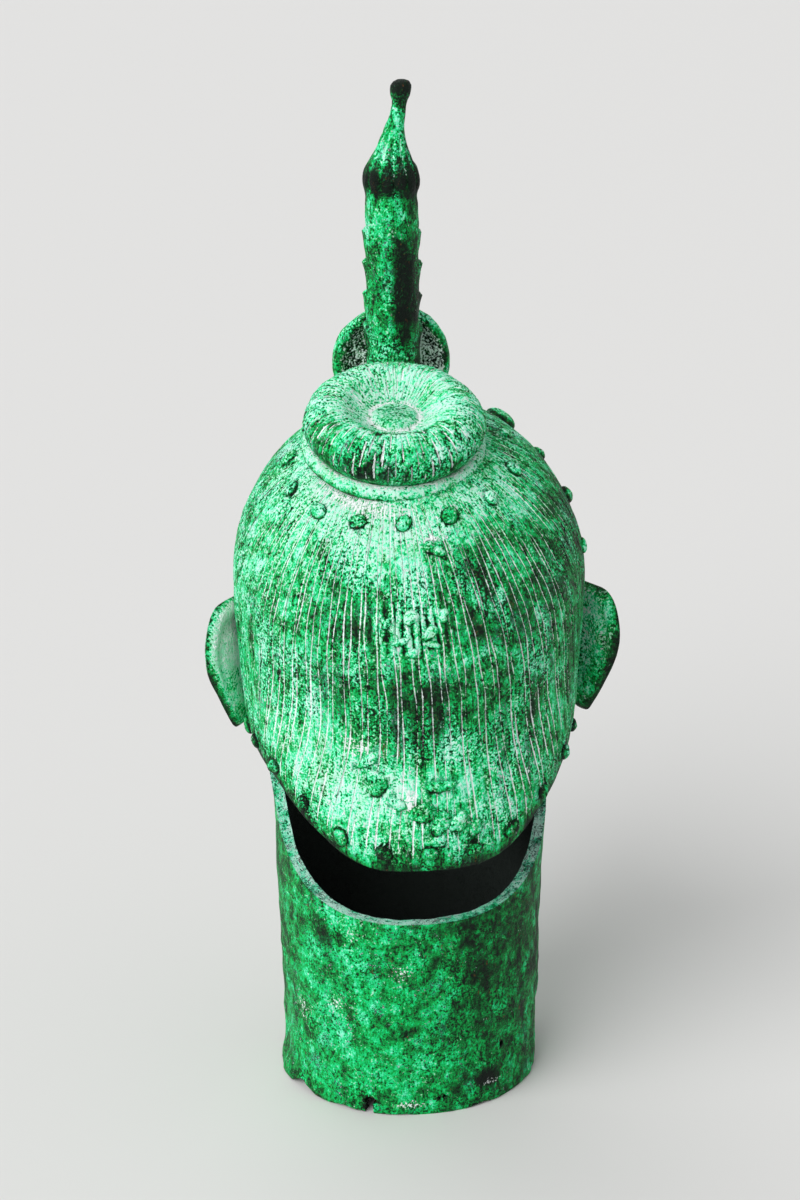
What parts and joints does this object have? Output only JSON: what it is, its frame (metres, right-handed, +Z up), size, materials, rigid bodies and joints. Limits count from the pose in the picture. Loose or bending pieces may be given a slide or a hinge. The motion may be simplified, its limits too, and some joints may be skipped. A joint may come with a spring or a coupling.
{
  "type": "cast bronze commemorative head",
  "caption": "Hollow cast bronze head of an adult on a tall open neck, with close ridged hair, a ring-shaped bun and an upright scaled crest behind a rosette.",
  "frame": {"origin": "centre of the bounding box in plan, on the plane that the foot of the neck stands on", "axes": "+Z up along the neck, -Y the way the face looks, +Y towards the nape, +X towards the head's own left"},
  "size_m": [0.2098, 0.2186, 0.508],
  "materials": {
    "patinated_bronze": "matt malachite green corrosion with pale chalky deposits in the grooves"
  },
  "bodies": {
    "root": {"bronze_head": "patinated_bronze"}
  },
  "joints": []
}
